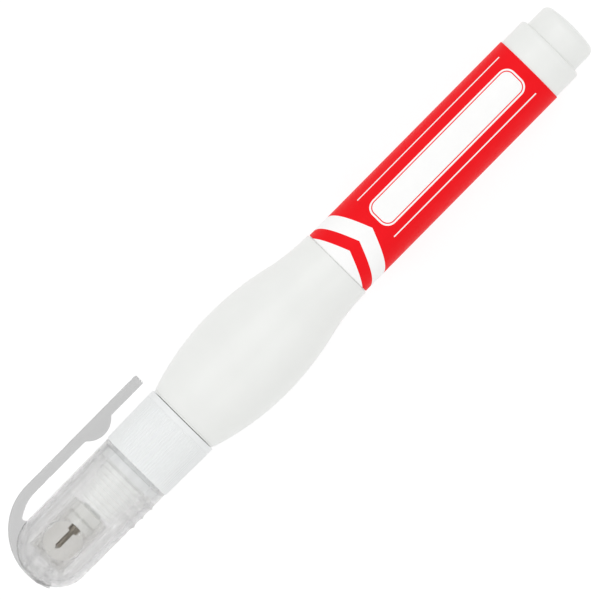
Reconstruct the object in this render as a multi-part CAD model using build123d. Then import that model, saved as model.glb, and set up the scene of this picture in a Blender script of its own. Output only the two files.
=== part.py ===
from build123d import *
import math
import os

# Correction pen, drawn along its own axis.
# X runs from the cap to the tail, Y runs towards the clip and Z points out of the cap's window.
# Station zero is where the mouth of the cap meets the collar. Sizes are in millimetres.

# Neck of the barrel and its thread
NECK_BORE_RADIUS = 4.1
NECK_WALL = 1.15
THREAD_PITCH = 2.4
THREAD_DEPTH = 0.55
THREAD_ROOT = 0.15
THREAD_BASE = 1.05
THREAD_CREST = 0.5
THREAD_FIT = 0.2
THREAD_LEAD_IN = 1.2
THREAD_RUN_OUT = 0.6

# Screw collar
COLLAR_LENGTH = 11.1
COLLAR_WALL = 0.68
COLLAR_DRAFT = 0.17
COLLAR_FRONT_WALL = 1.2
COLLAR_FLANGE = 1.15
COLLAR_LINE = 0.2
COLLAR_RIB_COUNT = 80
COLLAR_RIB_DEPTH = 0.2
COLLAR_RIB_FOOT = 0.36
COLLAR_RIB_CREST = 0.1
SPIGOT_WALL = 1.05
SPIGOT_LENGTH = 2.3
SPIGOT_GROOVE_LENGTH = 0.76
SPIGOT_GROOVE_DEPTH = 0.4
SPIGOT_CHAMFER = 0.25

# Nozzle
NOZZLE_REACH = 14.2
STEP_FRONT_RADIUS = 2.43
STEP_FRONT_LENGTH = 1.7
STEP_SEAL_RADIUS = 3.1
STEP_SEAL_LENGTH = 1.8
NOZZLE_GROOVE_RADIUS = 2.65
NOZZLE_GROOVE_LENGTH = 0.6
CONE_FRONT_RADIUS = 3.28
CONE_REAR_RADIUS = 4.5
CONE_RING_COUNT = 8
CONE_RING_DEPTH = 0.16
CONE_RING_GROOVE = 0.3
NOZZLE_HOLE_FIT = 0.1
NOZZLE_FLANGE_LENGTH = 1.2
NOZZLE_FLANGE_FIT = 0.15
PLUG_LENGTH = 4.6
PLUG_FIT = 0.04

# Valve needle, its spring and the disc behind it
NEEDLE_RADIUS = 0.22
NEEDLE_FIT = 0.08
NEEDLE_PROUD = 0.4
VALVE_HEAD_LENGTH = 0.8
VALVE_SEAT_GAP = 0.02
GUIDE_RADIUS = 0.5
GUIDE_FIT = 0.1
GUIDE_INTO_RETAINER = 0.6
SPRING_RADIUS = 1.05
SPRING_WIRE_RADIUS = 0.14
SPRING_LENGTH = 5.8
SPRING_TURNS = 7.0
SPRING_SEAT_GAP = 0.02
CHAMBER_FIT = 0.26
RETAINER_THICKNESS = 1.5
RETAINER_SEAT = 0.9
RETAINER_FIT = 0.02
FLOW_HOLE_COUNT = 4
FLOW_HOLE_RADIUS = 0.4
FLOW_HOLE_CIRCLE = 1.5

# Metal tip
TUBE_WALL = 0.18
TUBE_LENGTH = 3.45
SHANK_STEP = 0.12
SHANK_LENGTH = 3.9
SHANK_FIT = 0.01
TIP_COLLAR_STEP = 0.35
TIP_COLLAR_LENGTH = 1.25

# Inner cap
INNER_CAP_WALL = 0.55
INNER_CAP_END = 0.7
INNER_CAP_ROOM = 1.8
INNER_CAP_FIT = 0.03
STEM_RADIUS = 1.4
STEM_FIT = 0.01
STEM_END_GAP = 0.2
SOCKET_LENGTH = 2.5
SOCKET_WALL = 1.1

# Cap shell
CAP_FIT = 0.05
CAP_INSET = 0.12
CAP_DRAFT = 0.08
CAP_WALL = 1.25
DOME_FLAT = 0.45
WINDOW_RADIUS = 3.35
WINDOW_BEHIND_TIP = 1.9
FINGER_RIB_COUNT = 3
FINGER_RIB_PITCH = 2.12
FINGER_RIB_WIDTH = 0.9
FINGER_RIB_HEIGHT = 0.25
FINGER_RIB_SPAN = 116.0
FINGER_RIB_FROM_MOUTH = 3.3

# Pocket clip
CLIP_THICKNESS = 1.85
CLIP_WIDTH = 5.0
CLIP_BEND_RADIUS = 10.5
CLIP_AHEAD_OF_DOME = 0.2
CLIP_BELOW_AXIS = 4.0
CLIP_ROOT_ANGLE = 33.5
CLIP_ROOT_FIT = 0.05
CLIP_PAST_MOUTH = 10.9
CLIP_TIP_CORNER = 1.4
BUMP_GAP = 0.55
BUMP_HEIGHT = 1.45
BUMP_RADIUS = 3.9
BUMP_BLEND = 0.4
BUMP_PAST_MOUTH = 0.1

# Label
LABEL_LENGTH = 45.7
LABEL_INSET = 0.15
LABEL_THICKNESS = 0.13
LABEL_FIT = 0.02

# Barrel
BARREL_WALL = 1.0
COLLAR_GAP = 0.4
GRIP_LENGTH = 36.45
CREST_FROM_SHOULDER = 15.25
CREST_RADIUS = 9.36
SHOULDER_STEP = 0.18
SHOULDER_SLOPE_LENGTH = 3.5
REAR_ROUNDING = 0.57
WAIST_STEP = 0.2
BODY_RADIUS = 6.5
TAIL_LENGTH = 5.3
TAIL_CORNER = 0.7
POST_STEP = 0.95
POST_LENGTH = 5.1
POST_CORNER = 1.4
POST_DOME = 0.35

# Mixing ball
BALL_RADIUS = 2.75
BALL_FIT = 0.05
BALL_END_GAP = 0.3

# Radii that follow from others, from the neck outwards
NECK_RADIUS = NECK_BORE_RADIUS + NECK_WALL
COLLAR_BORE_RADIUS = NECK_RADIUS + THREAD_DEPTH + THREAD_FIT
COLLAR_FRONT_RADIUS = COLLAR_BORE_RADIUS + COLLAR_WALL + COLLAR_RIB_DEPTH
COLLAR_REAR_RADIUS = COLLAR_FRONT_RADIUS + COLLAR_DRAFT
NOZZLE_HOLE_RADIUS = CONE_REAR_RADIUS + NOZZLE_HOLE_FIT
NOZZLE_FLANGE_RADIUS = COLLAR_BORE_RADIUS - NOZZLE_FLANGE_FIT
PLUG_RADIUS = NECK_BORE_RADIUS - PLUG_FIT
SPIGOT_RADIUS = NOZZLE_HOLE_RADIUS + SPIGOT_WALL
CAP_BORE_RADIUS = SPIGOT_RADIUS + CAP_FIT
CAP_MOUTH_RADIUS = COLLAR_FRONT_RADIUS - CAP_INSET
CAP_END_RADIUS = CAP_MOUTH_RADIUS - CAP_DRAFT
DOME_RADIUS = CAP_END_RADIUS - DOME_FLAT
TUBE_BORE_RADIUS = NEEDLE_RADIUS + NEEDLE_FIT
TUBE_RADIUS = TUBE_BORE_RADIUS + TUBE_WALL
SHANK_RADIUS = TUBE_RADIUS + SHANK_STEP
TIP_COLLAR_RADIUS = SHANK_RADIUS + TIP_COLLAR_STEP
VALVE_HEAD_RADIUS = SPRING_RADIUS + SPRING_WIRE_RADIUS
CHAMBER_RADIUS = VALVE_HEAD_RADIUS + CHAMBER_FIT
REAR_BORE_RADIUS = CHAMBER_RADIUS + RETAINER_SEAT
INNER_CAP_BORE = STEP_SEAL_RADIUS + INNER_CAP_FIT
SOCKET_BORE = STEM_RADIUS + STEM_FIT
LABEL_RADIUS = BODY_RADIUS + LABEL_FIT + LABEL_THICKNESS
WAIST_RADIUS = LABEL_RADIUS + WAIST_STEP
SHOULDER_RADIUS = COLLAR_REAR_RADIUS - SHOULDER_STEP
POST_RADIUS = BODY_RADIUS - POST_STEP
BALL_DROP = BODY_RADIUS - BARREL_WALL - BALL_RADIUS - BALL_FIT

# Stations from the collar forwards, to the closed end of the cap
X_TIP_FACE = -NOZZLE_REACH
X_TIP_COLLAR = X_TIP_FACE - TIP_COLLAR_LENGTH
X_TUBE_END = X_TIP_COLLAR - TUBE_LENGTH
X_NEEDLE_END = X_TUBE_END - NEEDLE_PROUD
X_INNER_CAP = X_NEEDLE_END - INNER_CAP_ROOM - INNER_CAP_END
X_DOME_INSIDE = X_INNER_CAP - SOCKET_LENGTH
X_DOME = X_DOME_INSIDE - CAP_WALL
X_DOME_START = X_DOME + DOME_RADIUS
X_CAP_END = X_DOME - CLIP_AHEAD_OF_DOME
X_WINDOW = X_NEEDLE_END + WINDOW_BEHIND_TIP

# Stations along the nozzle and its valve
X_STEP_SEAL = X_TIP_FACE + STEP_FRONT_LENGTH
X_NOZZLE_GROOVE = X_STEP_SEAL + STEP_SEAL_LENGTH
X_CONE = X_NOZZLE_GROOVE + NOZZLE_GROOVE_LENGTH
X_SHANK_END = X_TIP_FACE + SHANK_LENGTH
X_HEAD = X_SHANK_END + VALVE_SEAT_GAP
X_HEAD_END = X_HEAD + VALVE_HEAD_LENGTH
X_RETAINER = X_HEAD_END + SPRING_LENGTH
X_RETAINER_END = X_RETAINER + RETAINER_THICKNESS
X_NECK = COLLAR_FRONT_WALL + NOZZLE_FLANGE_LENGTH
X_PLUG_END = X_NECK + PLUG_LENGTH
X_THREAD = X_NECK + THREAD_LEAD_IN
THREAD_LENGTH = COLLAR_LENGTH - THREAD_RUN_OUT - THREAD_BASE - THREAD_PITCH / 2 - X_THREAD

# Stations along the barrel
X_SHOULDER = COLLAR_LENGTH + COLLAR_GAP
X_CREST = X_SHOULDER + CREST_FROM_SHOULDER
X_WAIST = X_SHOULDER + GRIP_LENGTH
X_LABEL = X_WAIST + LABEL_INSET
X_LABEL_END = X_LABEL + LABEL_LENGTH
X_TAIL = X_LABEL_END + TAIL_LENGTH
X_END = X_TAIL + POST_LENGTH
X_BALL = X_TAIL - BARREL_WALL - BALL_RADIUS - BALL_END_GAP

# The clip's faces, the centre of its bend and the line where it flexes
CLIP_INNER = COLLAR_REAR_RADIUS + BUMP_GAP + BUMP_HEIGHT
CLIP_OUTER = CLIP_INNER + CLIP_THICKNESS
CLIP_MID_RADIUS = CLIP_BEND_RADIUS - CLIP_THICKNESS / 2
CLIP_BEND_X = X_CAP_END + CLIP_BEND_RADIUS
CLIP_BEND_Y = CLIP_OUTER - CLIP_BEND_RADIUS
CLIP_FLEX_X = CLIP_BEND_X - CLIP_MID_RADIUS * math.sin(math.radians(CLIP_ROOT_ANGLE))
CLIP_FLEX_Y = CLIP_BEND_Y + CLIP_MID_RADIUS * math.cos(math.radians(CLIP_ROOT_ANGLE))

# The origin is on the axis, in the middle of the labelled part of the barrel, where a holder takes the pen.
X_SEAT = (X_LABEL + X_LABEL_END) / 2
PLACE = Pos(-X_SEAT, 0, 0)


def turned(*lines):
    """Solid turned about the pen's axis from a closed outline of stations and radii."""
    outline = [edge for line in lines for edge in line.edges()]
    return revolve(make_face(outline), Axis.X)


def turned_corners(*corners):
    """Solid turned about the pen's axis from straight lines between corners."""
    return turned(Polyline(*corners, close=True))


def rod(start, end, radius):
    """Round bar on the pen's axis."""
    return turned_corners((start, 0), (end, 0), (end, radius), (start, radius))


def arc_over(centre, radius, start, end, side=1):
    """Arc between two stations, on the side of its centre away from the axis, or with -1 towards it."""
    points = []
    for station in (start, (start + end) / 2, end):
        rise = math.sqrt(radius**2 - (station - centre[0]) ** 2)
        points.append((station, centre[1] + side * rise))
    return ThreePointArc(*points)


def round_corner(station, radius, corner):
    """Quarter arc that rounds the tailward outer corner of a turned outline."""
    return CenterArc((station - corner, radius - corner), corner, 0, 90)


def helical_ridge(start, radius, inward):
    """Thread ridge of trapezoid section on a wall of the given radius."""
    path = Helix(THREAD_PITCH, THREAD_LENGTH, radius, center=(start, 0, 0), direction=(1, 0, 0))
    point = path @ 0
    outward = Vector(0, point.Y, point.Z).normalized()
    side = -1 if inward else 1
    corners = [
        (-side * THREAD_ROOT, -THREAD_BASE / 2),
        (side * THREAD_DEPTH, -THREAD_CREST / 2),
        (side * THREAD_DEPTH, THREAD_CREST / 2),
        (-side * THREAD_ROOT, THREAD_BASE / 2),
    ]
    plane = Plane(point, x_dir=outward, z_dir=path % 0)
    return sweep(plane * make_face(Polyline(*corners, close=True)), path, is_frenet=True)


def grip_outline(start, inset):
    """Arcs of the swollen grip from a station near the shoulder to the waist, moved inwards by inset."""
    rise = CREST_RADIUS - SHOULDER_RADIUS
    front_arc = (CREST_FROM_SHOULDER**2 + rise**2) / (2 * rise)
    run = X_WAIST - X_CREST
    drop = CREST_RADIUS - WAIST_RADIUS
    both_arcs = (run**2 + drop**2) / (2 * drop)
    rear_arc = both_arcs * REAR_ROUNDING
    waist_arc = both_arcs - rear_arc
    meet = X_CREST + (rear_arc - inset) * run / both_arcs
    front = (X_CREST, CREST_RADIUS - front_arc)
    rear = (X_CREST, CREST_RADIUS - rear_arc)
    waist = (X_WAIST, WAIST_RADIUS + waist_arc)
    return [
        arc_over(front, front_arc - inset, start, X_CREST),
        arc_over(rear, rear_arc - inset, X_CREST, meet),
        arc_over(waist, waist_arc + inset, meet, X_WAIST, side=-1),
    ]


def barrel():
    """Hollow squeeze bottle: threaded neck, swollen grip, label seat and stepped tail."""
    outer = grip_outline(X_SHOULDER, 0)
    inner = grip_outline(X_SHOULDER + SHOULDER_SLOPE_LENGTH, BARREL_WALL)
    bore = BODY_RADIUS - BARREL_WALL
    post_bore = POST_RADIUS - BARREL_WALL
    tail_floor = X_TAIL - BARREL_WALL
    post_floor = X_END - BARREL_WALL
    post_rim = X_END - POST_DOME
    end_reach = POST_RADIUS - POST_CORNER
    end_arc = (end_reach**2 + POST_DOME**2) / (2 * POST_DOME)
    end_angle = math.degrees(math.asin(end_reach / end_arc))
    neck = [
        inner[0] @ 0,
        (X_SHOULDER + BARREL_WALL / 2, NECK_BORE_RADIUS),
        (X_NECK, NECK_BORE_RADIUS),
        (X_NECK, NECK_RADIUS),
        (X_SHOULDER, NECK_RADIUS),
        outer[0] @ 0,
    ]
    seat = [outer[-1] @ 1, (X_WAIST, BODY_RADIUS), (X_TAIL - TAIL_CORNER, BODY_RADIUS)]
    step = [
        (X_TAIL, BODY_RADIUS - TAIL_CORNER),
        (X_TAIL, POST_RADIUS),
        (post_rim - POST_CORNER, POST_RADIUS),
    ]
    inside = [
        (X_END, 0),
        (post_floor, 0),
        (post_floor, post_bore),
        (tail_floor, post_bore),
        (tail_floor, bore),
        (X_WAIST + BARREL_WALL, bore),
        inner[-1] @ 1,
    ]
    bottle = turned(
        Polyline(*neck),
        *outer,
        Polyline(*seat),
        round_corner(X_TAIL, BODY_RADIUS, TAIL_CORNER),
        Polyline(*step),
        round_corner(post_rim, POST_RADIUS, POST_CORNER),
        CenterArc((X_END - end_arc, 0), end_arc, 0, end_angle),
        Polyline(*inside),
        *inner,
    )
    return bottle + helical_ridge(X_THREAD, NECK_RADIUS, inward=False)


def label_sleeve():
    """Printed film wrapped around the straight part of the barrel."""
    film = rod(X_LABEL, X_LABEL_END, LABEL_RADIUS)
    return film - rod(X_LABEL, X_LABEL_END, LABEL_RADIUS - LABEL_THICKNESS)


def ribbed_outline(station, radius):
    """Cross-section of the ribbed part of the collar at one station."""
    root = radius - COLLAR_RIB_DEPTH
    pitch = 2 * math.pi / COLLAR_RIB_COUNT
    foot = COLLAR_RIB_FOOT / radius
    crest = COLLAR_RIB_CREST / radius
    corners = []
    for index in range(COLLAR_RIB_COUNT):
        middle = index * pitch
        for offset, reach in ((-foot / 2, root), (-crest / 2, radius), (crest / 2, radius), (foot / 2, root)):
            angle = middle + offset
            corners.append((reach * math.cos(angle), reach * math.sin(angle)))
    plane = Plane((station, 0, 0), x_dir=(0, 1, 0), z_dir=(1, 0, 0))
    return plane * make_face(Polyline(*corners, close=True))


def screw_collar():
    """Ribbed collar with the spigot for the cap in front and an inside thread behind."""
    x_flange = COLLAR_LENGTH - COLLAR_FLANGE
    x_groove = -SPIGOT_GROOVE_LENGTH
    groove = SPIGOT_RADIUS - SPIGOT_GROOVE_DEPTH
    core = COLLAR_FRONT_RADIUS - COLLAR_RIB_DEPTH
    front = ribbed_outline(0, COLLAR_FRONT_RADIUS)
    rear = ribbed_outline(x_flange - COLLAR_LINE, COLLAR_REAR_RADIUS)
    ribbed = loft([front, rear], ruled=True)
    plain = turned_corners(
        (-SPIGOT_LENGTH, 0),
        (-SPIGOT_LENGTH, SPIGOT_RADIUS - SPIGOT_CHAMFER),
        (-SPIGOT_LENGTH + SPIGOT_CHAMFER, SPIGOT_RADIUS),
        (x_groove, SPIGOT_RADIUS),
        (x_groove, groove),
        (0, groove),
        (0, core),
        (x_flange, core),
        (x_flange, COLLAR_REAR_RADIUS),
        (COLLAR_LENGTH, COLLAR_REAR_RADIUS),
        (COLLAR_LENGTH, 0),
    )
    hollow = rod(-SPIGOT_LENGTH, COLLAR_FRONT_WALL, NOZZLE_HOLE_RADIUS)
    hollow += rod(COLLAR_FRONT_WALL, COLLAR_LENGTH, COLLAR_BORE_RADIUS)
    ridge = helical_ridge(X_THREAD + THREAD_PITCH / 2, COLLAR_BORE_RADIUS, inward=True)
    return ribbed + plain - hollow + ridge


def cone_rings():
    """Outline of the nozzle's cone: rings that widen towards the collar, with a groove after each."""
    pitch = (-SPIGOT_LENGTH - X_CONE) / CONE_RING_COUNT
    growth = (CONE_REAR_RADIUS - CONE_FRONT_RADIUS) / CONE_RING_COUNT
    corners = []
    for index in range(CONE_RING_COUNT):
        start = X_CONE + index * pitch
        radius = CONE_FRONT_RADIUS + index * growth
        wide = radius + growth
        corners.append((start, radius))
        corners.append((start + pitch - CONE_RING_GROOVE, wide))
        corners.append((start + pitch, wide - CONE_RING_DEPTH))
    return corners


def nozzle():
    """Stepped tip holder, clamped by its flange between the collar and the neck."""
    body = turned_corners(
        (X_TIP_FACE, 0),
        (X_TIP_FACE, STEP_FRONT_RADIUS),
        (X_STEP_SEAL, STEP_FRONT_RADIUS),
        (X_STEP_SEAL, STEP_SEAL_RADIUS),
        (X_NOZZLE_GROOVE, STEP_SEAL_RADIUS),
        (X_NOZZLE_GROOVE, NOZZLE_GROOVE_RADIUS),
        (X_CONE, NOZZLE_GROOVE_RADIUS),
        *cone_rings(),
        (-SPIGOT_LENGTH, CONE_REAR_RADIUS),
        (COLLAR_FRONT_WALL, CONE_REAR_RADIUS),
        (COLLAR_FRONT_WALL, NOZZLE_FLANGE_RADIUS),
        (X_NECK, NOZZLE_FLANGE_RADIUS),
        (X_NECK, PLUG_RADIUS),
        (X_PLUG_END, PLUG_RADIUS),
        (X_PLUG_END, 0),
    )
    hollow = rod(X_TIP_FACE, X_SHANK_END, SHANK_RADIUS + SHANK_FIT)
    hollow += rod(X_SHANK_END, X_RETAINER, CHAMBER_RADIUS)
    hollow += rod(X_RETAINER, X_PLUG_END, REAR_BORE_RADIUS)
    return body - hollow


def metal_tip():
    """Steel tube with a small collar that seats on the nozzle and a shank pressed into it."""
    body = rod(X_TUBE_END, X_TIP_COLLAR, TUBE_RADIUS)
    body += rod(X_TIP_COLLAR, X_TIP_FACE, TIP_COLLAR_RADIUS)
    body += rod(X_TIP_FACE, X_SHANK_END, SHANK_RADIUS)
    return body - rod(X_TUBE_END, X_SHANK_END, TUBE_BORE_RADIUS)


def valve_needle():
    """Wire that closes the tube, with the valve head and the guide for the spring."""
    wire = rod(X_NEEDLE_END, X_HEAD, NEEDLE_RADIUS)
    head = rod(X_HEAD, X_HEAD_END, VALVE_HEAD_RADIUS)
    guide = rod(X_HEAD_END, X_RETAINER + GUIDE_INTO_RETAINER, GUIDE_RADIUS)
    return wire + head + guide


def valve_spring():
    """Coil spring between the valve head and the retainer."""
    seat = SPRING_WIRE_RADIUS + SPRING_SEAT_GAP
    height = SPRING_LENGTH - 2 * seat
    pitch = height / SPRING_TURNS
    path = Helix(pitch, height, SPRING_RADIUS, center=(X_HEAD_END + seat, 0, 0), direction=(1, 0, 0))
    wire = Plane(path @ 0, z_dir=path % 0) * Circle(SPRING_WIRE_RADIUS)
    return sweep(wire, path, is_frenet=True)


def spring_retainer():
    """Perforated disc pressed into the nozzle behind the spring."""
    disc = rod(X_RETAINER, X_RETAINER_END, REAR_BORE_RADIUS - RETAINER_FIT)
    disc -= rod(X_RETAINER, X_RETAINER_END, GUIDE_RADIUS + GUIDE_FIT)
    hole = Pos(0, FLOW_HOLE_CIRCLE, 0) * rod(X_RETAINER, X_RETAINER_END, FLOW_HOLE_RADIUS)
    for index in range(FLOW_HOLE_COUNT):
        disc -= Rot(X=360 * index / FLOW_HOLE_COUNT) * hole
    return disc


def mixing_ball():
    """Loose steel ball lying in the tail of the barrel."""
    return Pos(X_BALL, 0, -BALL_DROP) * Sphere(BALL_RADIUS)


def bend_sector(outer, inner, start_angle, end_angle):
    """Stretch of the clip's bend, with angles counted from where the bend meets the straight arm."""
    ring = Circle(outer)
    if inner:
        ring -= Circle(inner)
    reach = 2 * outer
    corners = [(0, 0)]
    for angle in (start_angle, (start_angle + end_angle) / 2, end_angle):
        turn = math.radians(angle)
        corners.append((-reach * math.sin(turn), reach * math.cos(turn)))
    wedge = make_face(Polyline(*corners, close=True))
    return Pos(CLIP_BEND_X, CLIP_BEND_Y) * (ring & wedge)


def clip_knuckle(fit):
    """Round end of the clip's arm, about the line where it flexes."""
    return Pos(CLIP_FLEX_X, CLIP_FLEX_Y) * Circle(CLIP_THICKNESS / 2 + fit)


def clip_root():
    """Strip over the closed end of the cap and the web that joins it to the dome."""
    below = math.degrees(math.asin((CLIP_BELOW_AXIS + CLIP_BEND_Y) / CLIP_BEND_RADIUS))
    strip = bend_sector(CLIP_BEND_RADIUS, CLIP_BEND_RADIUS - CLIP_THICKNESS, CLIP_ROOT_ANGLE, 90 + below)
    web = bend_sector(CLIP_MID_RADIUS, 0, CLIP_ROOT_ANGLE, 90)
    return extrude(strip + web - clip_knuckle(CLIP_ROOT_FIT), CLIP_WIDTH / 2, both=True)


def pocket_clip():
    """Free arm of the clip: its bend, the straight strip and the bump that grips a pocket."""
    bend = bend_sector(CLIP_BEND_RADIUS, CLIP_BEND_RADIUS - CLIP_THICKNESS, 0, CLIP_ROOT_ANGLE)
    length = CLIP_PAST_MOUTH - CLIP_BEND_X
    strip = Rectangle(length, CLIP_THICKNESS, align=(Align.MIN, Align.MIN))
    bump = Pos(BUMP_PAST_MOUTH, CLIP_INNER - BUMP_HEIGHT + BUMP_RADIUS) * Circle(BUMP_RADIUS)
    below = Rectangle(2 * BUMP_RADIUS, 2 * BUMP_RADIUS, align=(Align.CENTER, Align.MAX))
    bump &= Pos(BUMP_PAST_MOUTH, CLIP_OUTER) * below
    outline = bend + clip_knuckle(0) + Pos(CLIP_BEND_X, CLIP_INNER) * strip + bump
    middle = (BUMP_PAST_MOUTH, CLIP_INNER)
    outline = fillet(outline.vertices().sort_by_distance(middle)[:2], BUMP_BLEND)
    arm = extrude(outline, CLIP_WIDTH / 2, both=True)
    return fillet(arm.edges().filter_by(Axis.Y).group_by(Axis.X)[-1], CLIP_TIP_CORNER)


def finger_rib(station):
    """Raised rib across the side of the cap that faces away from the clip."""
    surface = CAP_MOUTH_RADIUS - CAP_DRAFT * station / X_DOME_START
    root = surface - FINGER_RIB_HEIGHT
    start = (station - FINGER_RIB_WIDTH / 2, root)
    end = (station + FINGER_RIB_WIDTH / 2, root)
    crown = ThreePointArc(start, (station, surface + FINGER_RIB_HEIGHT), end)
    rib = revolve(make_face([crown, Line(end, start)]), Axis.X, revolution_arc=FINGER_RIB_SPAN)
    return Rot(X=180 - FINGER_RIB_SPAN / 2) * rib


def cap_body(end, dome, wall_corners):
    """Turned body with a domed end, from the dome's apex to the corners of its open end."""
    return turned(
        Line((end, 0), (end, DOME_FLAT)),
        CenterArc((X_DOME_START, DOME_FLAT), dome, 90, 90),
        Polyline((X_DOME_START, DOME_FLAT + dome), *wall_corners, (0, 0), (end, 0)),
    )


def cap_shell():
    """Clear cap with a domed end, the root of the clip, finger ribs and a round side window."""
    shell = cap_body(X_DOME, DOME_RADIUS, [(0, CAP_MOUTH_RADIUS)]) + clip_root()
    for index in range(FINGER_RIB_COUNT):
        shell += finger_rib(-FINGER_RIB_FROM_MOUTH - index * FINGER_RIB_PITCH)
    land = [(-SPIGOT_LENGTH, CAP_BORE_RADIUS), (0, CAP_BORE_RADIUS)]
    shell -= cap_body(X_DOME_INSIDE, DOME_RADIUS - CAP_WALL, land)
    reach = (Align.CENTER, Align.CENTER, Align.MIN)
    shell -= Pos(X_WINDOW, 0, 0) * Cylinder(WINDOW_RADIUS, 2 * CAP_MOUTH_RADIUS, align=reach)
    socket = rod(X_DOME_INSIDE - CAP_WALL / 2, X_INNER_CAP, SOCKET_BORE + SOCKET_WALL)
    return shell + socket - rod(X_DOME_INSIDE, X_INNER_CAP, SOCKET_BORE)


def inner_cap():
    """Sealing sleeve over the tip, held by its stem in the dome of the cap."""
    sleeve = rod(X_INNER_CAP, X_NOZZLE_GROOVE, INNER_CAP_BORE + INNER_CAP_WALL)
    sleeve += rod(X_DOME_INSIDE + STEM_END_GAP, X_INNER_CAP, STEM_RADIUS)
    return sleeve - rod(X_INNER_CAP + INNER_CAP_END, X_NOZZLE_GROOVE, INNER_CAP_BORE)


PIECES = {
    "barrel": barrel,
    "label_sleeve": label_sleeve,
    "screw_collar": screw_collar,
    "nozzle": nozzle,
    "metal_tip": metal_tip,
    "valve_needle": valve_needle,
    "valve_spring": valve_spring,
    "spring_retainer": spring_retainer,
    "mixing_ball": mixing_ball,
    "cap_shell": cap_shell,
    "pocket_clip": pocket_clip,
    "inner_cap": inner_cap,
}

os.makedirs("parts", exist_ok=True)
for name, make in PIECES.items():
    export_step(PLACE * make(), f"parts/{name}.step")
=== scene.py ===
import math

import bmesh
import bpy
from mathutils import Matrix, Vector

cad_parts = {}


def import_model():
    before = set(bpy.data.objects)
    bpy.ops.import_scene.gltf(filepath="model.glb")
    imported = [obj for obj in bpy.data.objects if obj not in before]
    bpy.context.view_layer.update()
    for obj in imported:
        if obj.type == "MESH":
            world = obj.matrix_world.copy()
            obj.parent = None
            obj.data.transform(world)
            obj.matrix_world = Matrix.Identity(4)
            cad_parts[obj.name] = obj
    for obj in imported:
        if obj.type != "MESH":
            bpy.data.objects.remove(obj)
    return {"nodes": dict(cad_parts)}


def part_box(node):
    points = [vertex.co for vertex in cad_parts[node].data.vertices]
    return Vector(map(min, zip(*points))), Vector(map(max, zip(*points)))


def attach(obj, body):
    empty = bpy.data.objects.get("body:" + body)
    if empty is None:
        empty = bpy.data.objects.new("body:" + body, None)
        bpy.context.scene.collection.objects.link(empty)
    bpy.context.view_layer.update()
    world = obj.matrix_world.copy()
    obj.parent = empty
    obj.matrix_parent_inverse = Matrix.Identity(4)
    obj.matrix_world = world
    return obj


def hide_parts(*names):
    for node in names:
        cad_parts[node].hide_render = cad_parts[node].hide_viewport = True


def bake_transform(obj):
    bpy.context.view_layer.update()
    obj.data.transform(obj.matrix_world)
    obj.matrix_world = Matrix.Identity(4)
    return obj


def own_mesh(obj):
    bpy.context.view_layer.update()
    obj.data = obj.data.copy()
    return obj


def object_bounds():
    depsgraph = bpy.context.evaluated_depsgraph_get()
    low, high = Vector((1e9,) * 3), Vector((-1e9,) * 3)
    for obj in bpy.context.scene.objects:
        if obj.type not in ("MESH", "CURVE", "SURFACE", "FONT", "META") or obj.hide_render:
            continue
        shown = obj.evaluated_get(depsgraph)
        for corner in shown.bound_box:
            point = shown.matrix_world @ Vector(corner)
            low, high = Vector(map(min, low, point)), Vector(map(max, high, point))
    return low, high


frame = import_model()
cad_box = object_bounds()

# Correction pen. Sizes and places are in millimetres in the model's frame, and meshes are scaled to metres.
# X runs from the cap to the tail, Y towards the clip and Z out of the cap's window.
MM = 0.001


def in_mm(box):
    """Lowest and highest corner of a box, in millimetres."""
    return [[value / MM for value in corner] for corner in box]


PEN_LOW, PEN_HIGH = in_mm(cad_box)
PEN_MIDDLE = (PEN_LOW[0] + PEN_HIGH[0]) / 2
BARREL_LOW, BARREL_HIGH = in_mm(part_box("barrel"))
LABEL_LOW, LABEL_HIGH = in_mm(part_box("label_sleeve"))
COLLAR_LOW, COLLAR_HIGH = in_mm(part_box("screw_collar"))
NOZZLE_LOW, NOZZLE_HIGH = in_mm(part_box("nozzle"))
TIP_LOW, TIP_HIGH = in_mm(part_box("metal_tip"))
CAP_LOW, CAP_HIGH = in_mm(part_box("cap_shell"))
INNER_LOW, INNER_HIGH = in_mm(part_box("inner_cap"))
CLIP_LOW, CLIP_HIGH = in_mm(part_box("pocket_clip"))
SPRING_LOW, SPRING_HIGH = in_mm(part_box("valve_spring"))

# Meshes
TURN_COUNT = 128
EDGE_STEPS = 4
SHARP_ANGLE = math.radians(40)
PRECISION = 1e-4
TINY = 1e-6

# Barrel
NECK_RADIUS = 5.25
NECK_BORE = 4.1
BARREL_WALL = 1.0
COLLAR_GAP = 0.4
SHOULDER_STEP = 0.18
SHOULDER_X = COLLAR_HIGH[0] + COLLAR_GAP
SHOULDER_RADIUS = COLLAR_HIGH[1] - SHOULDER_STEP
SHOULDER_EDGE = 0.35
SHOULDER_SLOPE = 3.5
CREST_FROM_SHOULDER = 15.25
CREST_X = SHOULDER_X + CREST_FROM_SHOULDER
CREST_RADIUS = min(*BARREL_HIGH[1:], *[-value for value in BARREL_LOW[1:]])
REAR_ROUNDING = 0.57
LABEL_RADIUS = LABEL_HIGH[1]
FILM = 0.13
LABEL_FIT = 0.02
LABEL_INSET = 0.15
LABEL_ROW = 2.0
BODY_RADIUS = LABEL_RADIUS - FILM - LABEL_FIT
WAIST_STEP = 0.2
WAIST_X = LABEL_LOW[0] - LABEL_INSET
WAIST_RADIUS = LABEL_RADIUS + WAIST_STEP
WAIST_EDGE = 0.14
TAIL_FROM_LABEL = 5.3
TAIL_X = LABEL_HIGH[0] + TAIL_FROM_LABEL
TAIL_EDGE = 0.7
TAIL_EDGE_STEPS = 8
POST_STEP = 0.95
POST_RADIUS = BODY_RADIUS - POST_STEP
POST_EDGE = 1.4
POST_EDGE_STEPS = 10
POST_DOME = 0.35
POST_DOME_STEPS = 6
STEP_EDGE = 0.25
BEAD_LENGTH = 0.3
BEAD_STEP = 0.12
END_X = BARREL_HIGH[0]
GRIP_ROW = 0.6
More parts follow.
